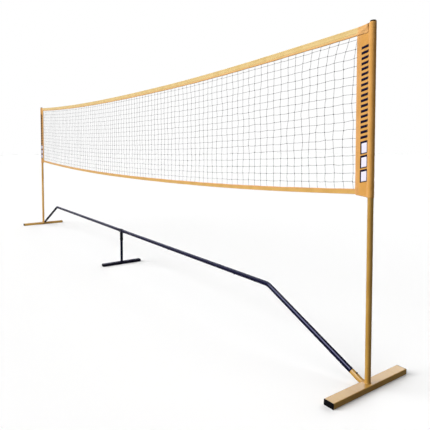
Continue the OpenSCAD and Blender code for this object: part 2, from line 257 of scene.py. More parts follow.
def twisted(name, colour, dark, pitch, roughness):
    """Laid thread or cord. The twist follows the attribute "strand": cosine, sine and length along.
    The grooves between its plies are painted darker, as painted shade.
    """
    paint = Paint(name, colour, Roughness=roughness, Sheen_Weight=0.2)
    cosine, sine, along = paint.attribute("strand")
    turn = paint.math("MULTIPLY", along, 2 * math.pi / pitch)
    lay = paint.math("ADD", paint.math("MULTIPLY", cosine, paint.math("SINE", turn)),
                     paint.math("MULTIPLY", sine, paint.math("COSINE", turn)))
    tone = paint.mix(colour, dark, paint.steps(paint.noise(60, 3), 0.35, 0.7, 0.0, 0.7))
    # Dark in the grooves of the lay and light on its crests: painted shade
    paint.colour(paint.mix(dark, tone, paint.steps(lay, -0.9, 0.2)))
    paint.bump(lay, 0.15 * MM, 0.7)
    return paint.material


def printed(name, colour, pale):
    """Screen-print ink, a little cracked by the weave below it."""
    paint = Paint(name, colour, Roughness=0.6, Specular_IOR_Level=0.15)
    paint.colour(paint.mix(colour, pale, paint.steps(paint.noise(420, 4), 0.55, 0.8, 0.0, 0.4)))
    paint.bump(paint.noise(1100, 3), 0.08 * MM, 0.6)
    return paint.material


WHITE = (1, 1, 1, 1)
GOLD = powder_coat("gold_powder_coat", srgb(194, 151, 74), srgb(170, 124, 50), srgb(212, 184, 132),
                   WHITE, 0.36, 0.6)
NAVY = powder_coat("navy_powder_coat", srgb(15, 15, 42), srgb(8, 8, 26), srgb(84, 84, 108),
                   srgb(206, 206, 255), 0.22, 0.4)
NAVY_PLASTIC = moulded_plastic("navy_plastic", srgb(16, 16, 32), srgb(44, 44, 62), 0.46)
BLACK_PLASTIC = moulded_plastic("black_plastic", srgb(8, 8, 12), srgb(34, 34, 38), 0.46)
BUTTON_STEEL = steel("button_steel", srgb(92, 80, 96), srgb(44, 36, 50), 0.32)
SPRING_STEEL = steel("spring_steel", srgb(178, 178, 182), srgb(120, 118, 118), 0.3)
SALMON = srgb(230, 173, 112)
TOP_CLOTH = woven("top_tape_cloth", srgb(229, 200, 140), srgb(212, 178, 108), SALMON, 0.8 * MM)
BOTTOM_CLOTH = woven("bottom_tape_cloth", srgb(218, 172, 98), srgb(196, 150, 78), SALMON, 0.8 * MM)
SLEEVE = woven("sleeve_cloth", srgb(219, 163, 88), srgb(203, 146, 68), SALMON, 0.8 * MM)
STRING = twisted("net_string", srgb(58, 58, 68), srgb(26, 26, 34), 2.4 * MM, 0.6)
CORD = twisted("cord_fibre", srgb(222, 218, 206), srgb(170, 164, 150), 6 * MM, 0.65)
THREAD = twisted("sewing_thread", srgb(196, 152, 72), srgb(140, 104, 44), 0.9 * MM, 0.55)
# A darker copy of the sewing thread for the top tape's main seam: a painted shadow line along the seam
SEAM_SHADOW_THREAD = twisted("seam_shadow_thread", srgb(140, 120, 58), srgb(96, 80, 38), 0.9 * MM, 0.55)
NAVY_INK = printed("navy_ink", srgb(14, 13, 44), srgb(60, 54, 72))
WHITE_INK = printed("white_ink", srgb(232, 228, 244), srgb(212, 200, 200))

SLOT_MATERIALS = {
    "gold_steel": GOLD,
    "navy_steel": NAVY,
    "navy_plastic": NAVY_PLASTIC,
    "black_plastic": BLACK_PLASTIC,
    "button_steel": BUTTON_STEEL,
    "spring_steel": SPRING_STEEL,
    "net_string": STRING,
    "tape_cloth": TOP_CLOTH,
    "sleeve_cloth": SLEEVE,
    "cord_fibre": CORD,
}


def finish_cad_nodes():
    """Gives every CAD node the material of its slot in the record."""
    for part in frame["record"]["subparts"]:
        data = frame["nodes"][part["node"]].data
        data.materials.clear()
        data.materials.append(SLOT_MATERIALS[part["material_slot"]])


# ---------------------------------------------------------------------------
# Mesh building
# ---------------------------------------------------------------------------
def grid_faces(rings, sides, closed, flipped=False):
    """Quads that join each ring of points to the next one."""
    start = np.arange(rings - 1)[:, None] * sides
    step = np.arange(sides if closed else sides - 1)[None]
    a = (start + step).ravel()
    b = (start + (step + 1) % sides).ravel()
    quads = np.stack([a, b, b + sides, a + sides], axis=-1)
    return (quads[:, ::-1] if flipped else quads).tolist()


def lengths(points):
    """How far along a line each of its points is."""
    return np.concatenate([[0], np.cumsum(np.linalg.norm(np.diff(points, axis=0), axis=1))])


class Soup:
    """One mesh gathered from many shapes, with a vector stored at each point."""

    def __init__(self):
        self.points, self.faces, self.vectors = [], [], []
        self.count = 0

    def add(self, points, faces, vectors):
        """Takes in one shape."""
        points = np.reshape(points, (-1, 3))
        self.points.append(points)
        self.vectors.append(np.reshape(vectors, (-1, 3)))
        self.faces += [[i + self.count for i in face] for face in faces]
        self.count += len(points)

    def build(self, name, material, slot, attribute):
        """The finished piece."""
        mesh = bpy.data.meshes.new(name)
        mesh.from_pydata(np.concatenate(self.points).tolist(), [], self.faces)
        mesh.materials.append(material)
        mesh.shade_smooth()
        stored = mesh.attributes.new(attribute, "FLOAT_VECTOR", "POINT")
        stored.data.foreach_set("vector", np.concatenate(self.vectors).astype(np.float32).ravel())
        made = bpy.data.objects.new(name, mesh)
        bpy.context.scene.collection.objects.link(made)
        return made


def add_tube(soup, path, radius, sides, side_way, up_way):
    """A tube along path. side_way, up_way and the path's direction are right-handed."""
    angle = 2 * math.pi * np.arange(sides) / sides
    cosine, sine = np.cos(angle)[None, :, None], np.sin(angle)[None, :, None]
    side_way = np.broadcast_to(side_way, path.shape)[:, None]
    up_way = np.broadcast_to(up_way, path.shape)[:, None]
    radius = np.broadcast_to(radius, len(path))[:, None, None]
    points = path[:, None] + radius * (cosine * side_way + sine * up_way)
    strand = (np.cos(angle), np.sin(angle), lengths(path)[:, None])
    vectors = np.stack(np.broadcast_arrays(*strand), axis=-1)
    last = (len(path) - 1) * sides
    caps = [list(range(sides))[::-1], [last + i for i in range(sides)]]
    soup.add(points, grid_faces(len(path), sides, True) + caps, vectors)


def smooth(value, low, high):
    """0 below low and 1 above high, with a smooth step between. low may be above high."""
    t = np.clip((value - low) / (high - low), 0, 1)
    return t * t * (3 - 2 * t)


def waves(x, wavelengths, seed):
    """A smooth random line with values of about -1 to 1."""
    phases = np.random.default_rng(seed).uniform(0, 2 * math.pi, len(wavelengths))
    total = sum(np.sin(2 * math.pi * x / w + p) for w, p in zip(wavelengths, phases))
    return total / math.sqrt(len(wavelengths))


def thicken(obj, thickness):
    """Turns a sheet of no thickness into cloth, half of it to each side."""
    solid = obj.modifiers.new("thickness", "SOLIDIFY")
    solid.thickness = thickness
    solid.offset = 0
    solid.use_even_offset = True


# Each ring of a stitch: its place along, its lift off the cloth and its thickness, all as shares
STITCH_RINGS = ((-1.0, -0.7, 0.45), (-0.6, 0.25, 1.0), (0.6, 0.25, 1.0), (1.0, -0.7, 0.45))
STITCH_SIDES = 5
THREAD_R = 0.33 * MM


def add_stitches(soup, places, ways, normals, length):
    """Short loops of thread lying on a cloth, their ends sunk into it."""
    count = len(places)
    ways, normals = np.broadcast_to(ways, (count, 3)), np.broadcast_to(normals, (count, 3))
    beside = np.cross(normals, ways)
    angle = 2 * math.pi * np.arange(STITCH_SIDES) / STITCH_SIDES
    cosine, sine = np.cos(angle)[None, :, None], np.sin(angle)[None, :, None]
    spokes = cosine * normals[:, None] - sine * beside[:, None]
    rings = []
    for share, lift, thick in STITCH_RINGS:
        centre = places + ways * share * length / 2 + normals * lift * THREAD_R
        rings.append(centre[:, None] + thick * THREAD_R * spokes)
    points = np.stack(rings, axis=1)
    faces = grid_faces(len(STITCH_RINGS), STITCH_SIDES, True)
    last = (len(STITCH_RINGS) - 1) * STITCH_SIDES
    faces += [list(range(STITCH_SIDES))[::-1], [last + i for i in range(STITCH_SIDES)]]
    strand = np.zeros((len(STITCH_RINGS), STITCH_SIDES, 3))
    strand[..., 0], strand[..., 1] = np.cos(angle), np.sin(angle)
    strand[..., 2] = (np.array([ring[0] for ring in STITCH_RINGS]) * length / 2)[:, None]
    for stitch in points:
        soup.add(stitch, faces, strand)


# ---------------------------------------------------------------------------
# Stage: camera, lights and floor
# ---------------------------------------------------------------------------
# Where the camera stands, and in degrees how far it looks down and is turned from +Y; its lens and
# sensor in millimetres, and its shift as a share of the frame
CAMERA_PLACE = (3.789, -1.650, 1.041)
CAMERA_DOWN = 2.61
CAMERA_TURN = 54.84
LENS = 38.34
SENSOR_W = 36
FRAME_SHIFT = -0.1098
FAR_CLIP = 200

# Each sun: its name, strength and softness in degrees, the way from the object to it, and whether it
# lights surfaces and whether it shows in their gloss
SUNS = (
    ("key", 4.0, 50, (-0.48, -0.78, 0.36), True, False),
    ("overhead", 0.5, 50, (-0.1, -0.1, 1.0), True, False),
    ("fill", 0.4, 60, (0.85, -0.4, 0.3), True, False),
    ("back", 1.6, 60, (-0.1, 0.9, 0.45), True, False),
    ("window", 1.8, 34, (-0.1, -0.56, 0.82), False, True),
    ("sky", 0.6, 60, (-0.8, 0.0, 0.6), False, True),
)

# The panel, in watts, metres and degrees, and the parts of the far stand that it lights
PANEL_POWER = 6
PANEL_SIZE = 1.2
PANEL_SPREAD = 70
PANEL_PLACE = (-1.2, -1.1, 0.75)
PANEL_TILT = 76
PANEL_TURN = 52
FAR_STAND = ("foot_bar_left", "foot_plug_left_front", "post_stub_left", "spine_stub_left",
             "lower_post_left")

# The room is dim but for a bright patch one way, which shows in the tubes' gloss
PATCH_WAY = (-0.53, 0.72, 0.45)
PATCH_EDGE = {"From Min": 0.965, "From Max": 0.99, "To Min": 0.08, "To Max": 2.1}

FLOOR_HALF = 60
FLOOR_SEEN = (1.0, 1.0, 1.0, 1)
FLOOR_BOUNCE = (0.12, 0.12, 0.12, 1)


def make_camera():
    """A camera near the right-hand post, looking along the net towards the far post."""
    camera = bpy.data.objects.new("camera", bpy.data.cameras.new("camera"))
    camera.data.lens = LENS
    camera.data.sensor_width = SENSOR_W
    camera.data.shift_y = FRAME_SHIFT
    camera.data.clip_end = FAR_CLIP
    camera.location = CAMERA_PLACE
    camera.rotation_euler = (math.radians(90 - CAMERA_DOWN), 0, math.radians(CAMERA_TURN))
    bpy.context.scene.collection.objects.link(camera)
    bpy.context.scene.camera = camera


def make_sun(name, strength, softness, towards, lights, mirrored):
    """A broad, even light; towards is the way from the object to the light."""
    light = bpy.data.lights.new(name, "SUN")
    light.energy = strength
    light.angle = math.radians(softness)
    lamp = bpy.data.objects.new(name, light)
    x, y, z = towards
    lamp.rotation_euler = (math.atan2(math.hypot(x, y), z), 0, math.atan2(x, -y))
    lamp.visible_diffuse = lights
    lamp.visible_glossy = mirrored
    bpy.context.scene.collection.objects.link(lamp)


def make_far_light():
    """A soft panel near the far stand, so that its near side isn't lost in shade."""
    panel = bpy.data.lights.new("far_panel", "AREA")
    panel.energy = PANEL_POWER
    panel.size = PANEL_SIZE
    panel.spread = math.radians(PANEL_SPREAD)
    lamp = bpy.data.objects.new("far_panel", panel)
    lamp.location = PANEL_PLACE
    lamp.rotation_euler = (math.radians(PANEL_TILT), 0, math.radians(PANEL_TURN))
    lamp.visible_glossy = False
    lamp.visible_camera = False
    reached = bpy.data.collections.new("far_stand")
    for node in FAR_STAND:
        reached.objects.link(frame["nodes"][node])
    lamp.light_linking.receiver_collection = reached
    bpy.context.scene.collection.objects.link(lamp)


def make_room():
    """A dim room with one bright patch, and plain white where the camera sees past the floor."""
    world = bpy.data.worlds.new("studio")
    world.use_nodes = True
    nodes, links = world.node_tree.nodes, world.node_tree.links
    where = nodes.new("ShaderNodeTexCoord")
    facing = nodes.new("ShaderNodeVectorMath")
    facing.operation = "DOT_PRODUCT"
    facing.inputs[1].default_value = PATCH_WAY
    glow = nodes.new("ShaderNodeMapRange")
    glow.interpolation_type = "SMOOTHSTEP"
    for key, value in PATCH_EDGE.items():
        glow.inputs[key].default_value = value
    room = nodes["Background"]
    room.inputs["Color"].default_value = WHITE
    seen = nodes.new("ShaderNodeBackground")
    seen.inputs["Color"].default_value = WHITE
    path = nodes.new("ShaderNodeLightPath")
    mix = nodes.new("ShaderNodeMixShader")
    links.new(where.outputs["Generated"], facing.inputs[0])
    links.new(facing.outputs["Value"], glow.inputs["Value"])
    links.new(glow.outputs["Result"], room.inputs["Strength"])
    links.new(path.outputs["Is Camera Ray"], mix.inputs["Fac"])
    links.new(room.outputs["Background"], mix.inputs[1])
    links.new(seen.outputs["Background"], mix.inputs[2])
    links.new(mix.outputs["Shader"], nodes["World Output"].inputs["Surface"])
    bpy.context.scene.world = world


def make_lights():
    """A key from the front left, soft lights round the rest, and two lights seen only in the gloss."""
    for sun in SUNS:
        make_sun(*sun)
    make_far_light()
    make_room()
    bpy.context.scene.view_settings.view_transform = "Standard"


def make_floor():
    """A white floor, lit enough to look like paper, that throws only a little light back up."""
    mesh = bpy.data.meshes.new("floor")
    corners = [(x * FLOOR_HALF, y * FLOOR_HALF, 0) for x, y in ((-1, -1), (1, -1), (1, 1), (-1, 1))]
    mesh.from_pydata(corners, [], [(0, 1, 2, 3)])
    material = bpy.data.materials.new("white_floor")
    material.use_nodes = True
    nodes, links = material.node_tree.nodes, material.node_tree.links
    nodes.remove(nodes["Principled BSDF"])
    path = nodes.new("ShaderNodeLightPath")
    mix = nodes.new("ShaderNodeMix")
    mix.data_type = "RGBA"
    mix.inputs[6].default_value = FLOOR_BOUNCE
    mix.inputs[7].default_value = FLOOR_SEEN
    paper = nodes.new("ShaderNodeBsdfDiffuse")
    links.new(path.outputs["Is Camera Ray"], mix.inputs[0])
    links.new(mix.outputs[2], paper.inputs["Color"])
    links.new(paper.outputs["BSDF"], nodes["Material Output"].inputs["Surface"])
    mesh.materials.append(material)
    floor = bpy.data.objects.new("floor", mesh)
    bpy.context.scene.collection.objects.link(floor)


# ---------------------------------------------------------------------------
# Mesh of the net: knotted strings
# ---------------------------------------------------------------------------
COLUMNS = 98
ROWS = 17
# Height of the first and the last row of cells, as shares of a whole cell
BOTTOM_CELL = 0.8
TOP_CELL = 0.4
STRING_R = 0.75 * MM
STRING_SIDES = 6
STEPS_PER_CELL = 3
# From the mesh's edge to the first column
EDGE_GAP = 10 * MM
# How far a column runs on inside each tape, and a row inside each sleeve, where it is a little higher
TUCK = 9 * MM
SIDE_TUCK = 3 * MM
SIDE_LIFT = 1.5 * MM
# How unevenly it hangs: the columns' sway, each knot's scatter, the billow of the whole mesh, the
# pull of the sleeves on its ends, and the bow and sag of the string between two knots
SWAY = 3.8 * MM
SCATTER_X, SCATTER_Y, SCATTER_Z = 1.2 * MM, 0.9 * MM, 1.3 * MM
BILLOW = 4 * MM
END_PULL = 19 * MM
SPAN_BOW = 0.8 * MM
ROW_SAG = 0.9 * MM
KNOT_SIZE = np.array([2.6, 2.0, 2.3]) * MM
KNOT_SIDES = 8
KNOT_TILTS = (-50, -18, 18, 50)
KNOT_LAY = 1.5 * MM


def knot_grid():
    """Where the strings cross: [i, k] is column i and row k, and the end rows are at the tapes."""
    columns = np.linspace(-MESH_X + EDGE_GAP, MESH_X - EDGE_GAP, COLUMNS)
    rows = np.concatenate([[0], BOTTOM_CELL + np.arange(ROWS), [BOTTOM_CELL + ROWS - 1 + TOP_CELL]])
    share = rows / rows[-1]
    free = np.sin(math.pi * share) ** 0.4
    x = np.repeat(columns[:, None], len(rows), axis=1)
    for i in range(COLUMNS):
        sway = waves(rows, (21, 9.5, 5.3), 100 + i)
        x[i] += (SWAY * sway + DRAW.normal(0, SCATTER_X, len(rows))) * free
    pulled = END_PULL * smooth(np.abs(x), MESH_X - 0.5, MESH_X - 0.05)
    drawn = pulled * smooth(share, 0.8, 1.0) ** 2 - 0.45 * pulled * np.sin(math.pi * share) ** 0.5
    x = np.clip(x + np.sign(x) * drawn, -MESH_X, MESH_X)
    low = BOTTOM.height(x) + BOTTOM_TAPE_W / 2
    high = TOP.height(x) - TOP_TAPE_W / 2
    z = low + (high - low) * share
    z += DRAW.normal(0, SCATTER_Z, z.shape) * free
    y = DRAW.normal(0, SCATTER_Y, z.shape) * free
    y += BILLOW * free * waves(x, (1.9, 0.83, 0.47), 7)
    return np.stack([x, y, z], axis=-1)


def slack(path, sag):
    """Points along a string through its knots, each span bowed a little to one side and down."""
    share = np.arange(STEPS_PER_CELL) / STEPS_PER_CELL
    start, end = path[:-1], path[1:]
    bow = DRAW.normal(0, SPAN_BOW, (len(start), 3)) - sag * UP
    line = start[:, None] + (end - start)[:, None] * share[None, :, None]
    line += bow[:, None] * np.sin(math.pi * share)[None, :, None]
    return np.concatenate([line.reshape(-1, 3), path[-1:]])


def knot_shape():
    """A small lump with a waist, like two turns of string drawn tight."""
    angle = 2 * math.pi * np.arange(KNOT_SIDES) / KNOT_SIDES
    points = [np.array([[0, 0, -1.0]])]
    for tilt in KNOT_TILTS:
        t = math.radians(tilt)
        waist = math.cos(t) * (1 + 0.16 * np.cos(2 * angle + 3 * t))
        points.append(np.stack([waist * np.cos(angle), waist * np.sin(angle),
                                np.full(KNOT_SIDES, math.sin(t))], axis=-1))
    points.append(np.array([[0, 0, 1.0]]))
    last_ring = 1 + KNOT_SIDES * (len(KNOT_TILTS) - 1)
    tip = last_ring + KNOT_SIDES
    faces = [[1 + a for a in face] for face in grid_faces(len(KNOT_TILTS), KNOT_SIDES, True)]
    faces += [[0, 1 + (i + 1) % KNOT_SIDES, 1 + i] for i in range(KNOT_SIDES)]
    faces += [[tip, last_ring + i, last_ring + (i + 1) % KNOT_SIDES] for i in range(KNOT_SIDES)]
    return np.concatenate(points), faces


def make_strings(knots):
    """One string down each column of knots and one along each row."""
    soup = Soup()
    for column in knots:
        below, above = column[:1] - TUCK * UP, column[-1:] + TUCK * UP
        path = np.concatenate([below, slack(column, 0), above])
        path[[0, -1], 1] = 0
        add_tube(soup, path, STRING_R, STRING_SIDES, ALONG, ACROSS)
    reach = MESH_X + SIDE_TUCK
    for k in range(1, ROWS + 1):
        row = knots[:, k]
        left = [[-reach, 0.0, row[0, 2] + SIDE_LIFT]]
        right = [[reach, 0.0, row[-1, 2] + SIDE_LIFT]]
        path = slack(np.concatenate([left, row, right]), ROW_SAG)
        add_tube(soup, path, STRING_R, STRING_SIDES, ACROSS, UP)
    strings = soup.build("net_strings", STRING, "net_string", "strand")
    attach(strings, "net")
    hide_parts("net_mesh")


def make_knots(knots):
    """A knot at each crossing, each turned and sized a little by chance."""
    lump, faces = knot_shape()
    strand = np.concatenate([lump[:, :2], lump[:, 2:] * KNOT_LAY], axis=1)
    soup = Soup()
    for place in knots[:, 1:ROWS + 1].reshape(-1, 3):
        turn = DRAW.uniform(-0.6, 0.6)
        size = KNOT_SIZE * DRAW.uniform(0.85, 1.15, 3)
        spin = np.array([[math.cos(turn), 0, math.sin(turn)], [0, 1, 0],
                         [-math.sin(turn), 0, math.cos(turn)]])
        soup.add(lump * size @ spin + place, faces, strand)
    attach(soup.build("net_knots", STRING, "net_string", "strand"), "net")


# ---------------------------------------------------------------------------
# Tapes: cloth folded over the mesh's edges and stitched, with a cord in each fold
# ---------------------------------------------------------------------------
# The top tape runs on over the sleeves nearly to the posts, and the bottom one ends inside them
TOP_END = POST_X - 22.5 * MM
BOTTOM_END = MESH_X + 9 * MM
TAPE_STEP = 5 * MM
TAPE_POINTS = 14
# Half the tape's thickness, in TAPE_HALFs, at shares of the way from its open edge to its fold. At
# the last mark it is half the fold's own thickness, given below
TAPE_HALF = 1.0 * MM
TAPE_SHAPE = (1.35, 1.45, 1.25, 1.05, 1.3, 1.2, 1.25)
TAPE_MARKS = (0.0, 0.1, 0.22, 0.34, 0.46, 0.62, 0.78, 1.0)
TOP_FOLD_HALF = 2.2 * MM
BOTTOM_FOLD_HALF = 1.75 * MM
FOLD_TURNS = np.radians(np.arange(18, 91, 18))
# How unevenly it hangs: its open edge sways, puckers and drops
TAPE_SWAY = 0.56 * MM
TAPE_PUCKER = 0.16 * MM
TAPE_DROP = 0.5 * MM
# Over the sleeve the top tape is thicker, lifts towards the post and is drawn into a slanting ridge,
# which climbs from one share of the tape's width to another
OVER_SLEEVE = 0.5 * MM
END_LIFT = 4 * MM
RIDGE = 3.2 * MM
RIDGE_WIDE = 9 * MM
RIDGE_LOW = 0.15
RIDGE_HIGH = 0.75
# Seams, from the open edge
TOP_SEAM = 12.5 * MM
TOP_EDGE_SEAM = 3.5 * MM
BOTTOM_SEAM = 5 * MM
TAPE_PITCH = 5 * MM
TAPE_STITCH = 3.7 * MM
SEAM_MARGIN = 4 * MM
# Cords, with their depth below the folded edge
CORD_R = 1.2 * MM
CORD_DEPTH = 2.5 * MM
CORD_STEPS = 120
CORD_SIDES = 12


def tape_section(width, fold_half):
    """The tape's line from one open edge, round the fold, to the other: heights and half-thicknesses."""
    share = np.linspace(0, 1, TAPE_POINTS)
    half = np.interp(share, TAPE_MARKS, [h * TAPE_HALF for h in TAPE_SHAPE] + [fold_half])
    top = width - fold_half
    height = np.concatenate([share * top, top + fold_half * np.sin(FOLD_TURNS)])
    half = np.concatenate([half, fold_half * np.cos(FOLD_TURNS)])
    return np.concatenate([height, height[-2::-1]]), np.concatenate([half, -half[-2::-1]])


def tape_surface(arc, x, fold, height, half):
    """The tape's points, and how far past the mesh each is, from 0 to 1, if it lies over a sleeve."""
    outer = np.clip((np.abs(x) - MESH_X) / (TOP_END - MESH_X), 0, 1)[:, None] * (fold > 0)
    thicker = OVER_SLEEVE * smooth(np.abs(x), MESH_X - 14 * MM, MESH_X - 2 * MM)[:, None] * (fold > 0)
    crease = height - arc.width * (RIDGE_LOW + (RIDGE_HIGH - RIDGE_LOW) * outer)
    ridge = RIDGE * np.exp(-np.abs(crease) / RIDGE_WIDE) * smooth(outer, 0, 0.25)
    lift = END_LIFT * outer**1.5 * height / arc.width
    loose = 1 - height / arc.width
    sway = TAPE_SWAY * waves(x, (0.61, 0.27, 0.113), 31 + fold)[:, None] * loose**1.5
    pucker = TAPE_PUCKER * waves(x, (0.021, 0.0137), 50 + fold)[:, None] * np.sign(half) * loose
    drop = TAPE_DROP * waves(x, (0.37, 0.155), 77 + fold)[:, None] * loose**3
    y = -half - np.sign(half) * (thicker + ridge) + sway + pucker
    z = arc.height(x)[:, None] + fold * (height - arc.width / 2 + drop) + lift
    return np.stack([np.repeat(x[:, None], len(height), axis=1), y, z], axis=-1), outer


def make_tape(name, material, arc, end, fold, section, node):
    """One tape. fold is 1 where the folded edge is on top, and -1 where it is below."""
    height, half = section
    across = lengths(np.stack([height, half], axis=-1))
    x = np.linspace(-end, end, round(2 * end / TAPE_STEP) + 1)
    points, outer = tape_surface(arc, x, fold, height, half)
    tint = smooth(height / arc.width, 0.14, 0.36) * (1 - smooth(outer, 0, 0.15))
    cloth = np.stack([points[..., 0], np.broadcast_to(across, tint.shape), tint], axis=-1)
    tape = Soup()
    tape.add(points, grid_faces(len(x), len(height), False, fold < 0), cloth)
    made = tape.build(name, material, "tape_cloth", "cloth")
    thicken(made, TAPE_CLOTH)
    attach(made, "net")
    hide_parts(node)
    flat = (round(float(across[-1]), 3), round(2 * end, 3))
    return made, flat, points


def tape_stitches(name, arc, points, height, at, thread):
    """A seam along both faces of a tape, at this height from its open edge."""
    x = points[:, 0, 0]
    middle = len(height) // 2
    places_x = np.arange(x[0] + SEAM_MARGIN, x[-1] - SEAM_MARGIN, TAPE_PITCH)
    soup = Soup()
    for first, last, way in ((0, middle, -1), (middle + 1, len(height), 1)):
        near = first + int(np.argmin(np.abs(height[first:last] - at)))
        y = np.interp(places_x, x, points[:, near, 1]) + way * TAPE_CLOTH / 2
        z = np.interp(places_x, x, points[:, near, 2])
        places = np.stack([places_x, y, z], axis=-1)
        add_stitches(soup, places, arc.tangent(places_x), way * ACROSS, TAPE_STITCH)
    made = soup.build(name, thread, "tape_cloth", "strand")
    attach(made, "net")
    return made


def make_tapes():
    """The top tape with two seams, and the bottom tape with one."""
    section = tape_section(TOP_TAPE_W, TOP_FOLD_HALF)
    top, flat, points = make_tape("top_tape_cloth", TOP_CLOTH, TOP, TOP_END, 1, section, "top_tape")
    # The main seam is sewn with the darker thread, a painted shadow line along the seam
    seam = tape_stitches("top_tape_seam", TOP, points, section[0], TOP_SEAM, SEAM_SHADOW_THREAD)
    edge = tape_stitches("top_tape_edge_stitch", TOP, points, section[0], TOP_EDGE_SEAM, THREAD)
    section = tape_section(BOTTOM_TAPE_W, BOTTOM_FOLD_HALF)
    bottom, flat, points = make_tape("bottom_tape_cloth", BOTTOM_CLOTH, BOTTOM, BOTTOM_END, -1, section,
                                     "bottom_tape")
    seam = tape_stitches("bottom_tape_seam", BOTTOM, points, section[0], BOTTOM_SEAM, THREAD)


def make_cord(name, arc, node, side):
    """A cord inside a tape's fold. side is 1 where the fold is on top, and -1 where it is below."""
    low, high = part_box(node)
    x = np.linspace(low.x, high.x, CORD_STEPS)
    path = np.stack([x, 0 * x, arc.height(x) + side * (arc.width / 2 - CORD_DEPTH)], axis=-1)
    soup = Soup()
    add_tube(soup, path, CORD_R, CORD_SIDES, ACROSS, UP)
    rope = soup.build(name, CORD, "cord_fibre", "strand")
    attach(rope, "net")
    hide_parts(node)


# ---------------------------------------------------------------------------
# Sleeves: a band sewn to the mesh, and a pocket round the post, cut from one cloth
# ---------------------------------------------------------------------------
# From the post's axis to the mesh's edge, and to the seam where the band meets the pocket
BAND = POST_X - MESH_X
SEAM = 22 * MM
POCKET_R = POST_R + 0.85 * MM
SEAM_ANGLE = math.acos(POCKET_R / SEAM)
BAND_POINTS = 24
RAMP_POINTS = 3
POCKET_POINTS = 34
SLEEVE_ROWS = 190
# Half the gap between the band's layers, and what its hems and the bottom tape inside it add
BAND_HALF = 0.75 * MM
HEM_EXTRA = 0.35 * MM
TAPE_EXTRA = 1.75 * MM
# Width of the hems, how much lower the bottom edge is at the post than at the mesh, the radius of its
# corner, and how far the band's top edge stays below the top tape's
HEM = 12 * MM
HEM_DROP = 6 * MM
CORNER_R = 10 * MM
UNDER_TAPE = 1.6 * MM
# How unevenly it hangs: the band's drape, the pocket's ripple, and drag folds from the pulled corners,
# each with the x and z it starts and ends at, and its height
DRAPE = 0.5 * MM
RIPPLE = 0.18 * MM
DRAG_FOLDS = (
    (-20 * MM, SLEEVE_HIGH.z - 66 * MM, -55 * MM, SLEEVE_HIGH.z - 130 * MM, 1.3 * MM),
    (-22 * MM, SLEEVE_LOW.z + 12 * MM, -60 * MM, SLEEVE_LOW.z + 60 * MM, 0.9 * MM),
)
DRAG_WIDE = 8 * MM
# Seams down the band, each with its x and its margins at the bottom and the top
DOWN_SEAMS = (
    (-SEAM - 0.8 * MM, 8 * MM, 42 * MM),
    (-BAND + 3 * MM, 12 * MM, 38 * MM),
    (-BAND + HEM - 1.5 * MM, 8 * MM, 40 * MM),
)
SLEEVE_PITCH = 4 * MM
SLEEVE_STITCH = 2.9 * MM


def sleeve_section():
    """The cloth's line seen from above, from the mesh's edge on the front, round the post and back."""
    band_x = -np.linspace(BAND, SEAM, BAND_POINTS)
    band_y = np.full(BAND_POINTS, BAND_HALF)
    turn = np.linspace(math.pi + SEAM_ANGLE, 3 * math.pi - SEAM_ANGLE, POCKET_POINTS)
    round_x, round_y = POCKET_R * np.cos(turn), POCKET_R * np.sin(turn)
    ramp = np.linspace(0, 1, RAMP_POINTS + 2)[1:-1]
    ramp_x = -SEAM + (round_x[0] + SEAM) * ramp
    ramp_y = -BAND_HALF + (round_y[0] + BAND_HALF) * ramp
    x = np.concatenate([band_x, ramp_x, round_x, ramp_x[::-1], band_x[::-1]])
    y = np.concatenate([-band_y, ramp_y, round_y, -ramp_y[::-1], band_y])
    return x, y, lengths(np.stack([x, y], axis=-1))


SECTION_X, SECTION_Y, SECTION_RUN = sleeve_section()
SECTION_NORMAL = np.stack([np.gradient(SECTION_Y, SECTION_RUN), -np.gradient(SECTION_X, SECTION_RUN)])
SECTION_NORMAL /= np.linalg.norm(SECTION_NORMAL, axis=0)


def sleeve_edges(x):
    """The sleeve's bottom and top heights at x, measured from the post's axis."""
    inner = x + BAND
    hem = SLEEVE_LOW.z + HEM_DROP - HEM_DROP * smooth(inner, 0, BAND)
    round_off = CORNER_R - np.sqrt(np.maximum(CORNER_R**2 - np.maximum(CORNER_R - inner, 0) ** 2, 0))
    under_tape = TOP.height(MESH_X + inner) + TOP_TAPE_W / 2 - UNDER_TAPE
    top = under_tape + (SLEEVE_HIGH.z - under_tape) * smooth(x, -SEAM - 2 * MM, -SEAM + 5 * MM)
    return hem + round_off, top


def band_fall(x, z, seed):
    """How far the band stands out of its plane: its drape, and drag folds from its pulled corners."""
    free = smooth(x, -BAND, -BAND + 18 * MM) * smooth(x, -SEAM, -SEAM - 12 * MM)
    total = DRAPE * waves(z + 0.8 * x, (0.31, 0.17, 0.083), seed)
    for from_x, from_z, to_x, to_z, size in DRAG_FOLDS:
        way = np.array([to_x - from_x, to_z - from_z])
        span = np.hypot(*way)
        along = ((x - from_x) * way[0] + (z - from_z) * way[1]) / span
        off = ((x - from_x) * way[1] - (z - from_z) * way[0]) / span
        fade = smooth(along, -0.01, 0.015) * smooth(along, span + 0.02, span - 0.02)
        total = total - size * np.exp(-((off / DRAG_WIDE) ** 2)) * fade
    return total * free


def band_half(x, z):
    """Half the gap between the band's layers: more in its hems, and most over the bottom tape."""
    edge = smooth(x, -BAND + HEM + 1.2 * MM, -BAND + HEM)
    over_tape = smooth(x, -BAND + 20 * MM, -BAND + 9 * MM) * smooth(
        np.abs(z - BOTTOM.height(MESH_X)), BOTTOM_TAPE_W / 2 + 12 * MM, BOTTOM_TAPE_W / 2 + 3 * MM)
    bottom = sleeve_edges(x)[0]
    hem = smooth(z - bottom, HEM, HEM - 1.5 * MM)
    return BAND_HALF + HEM_EXTRA * np.maximum(edge, hem) + TAPE_EXTRA * over_tape


def band_surface(x, z, layer, seed, out=0.0):
    """A point of the band, x from the post's axis. layer is -1 in front and 1 behind; out is off it."""
    return layer * (band_half(x, z) + out) + band_fall(x, z, seed)


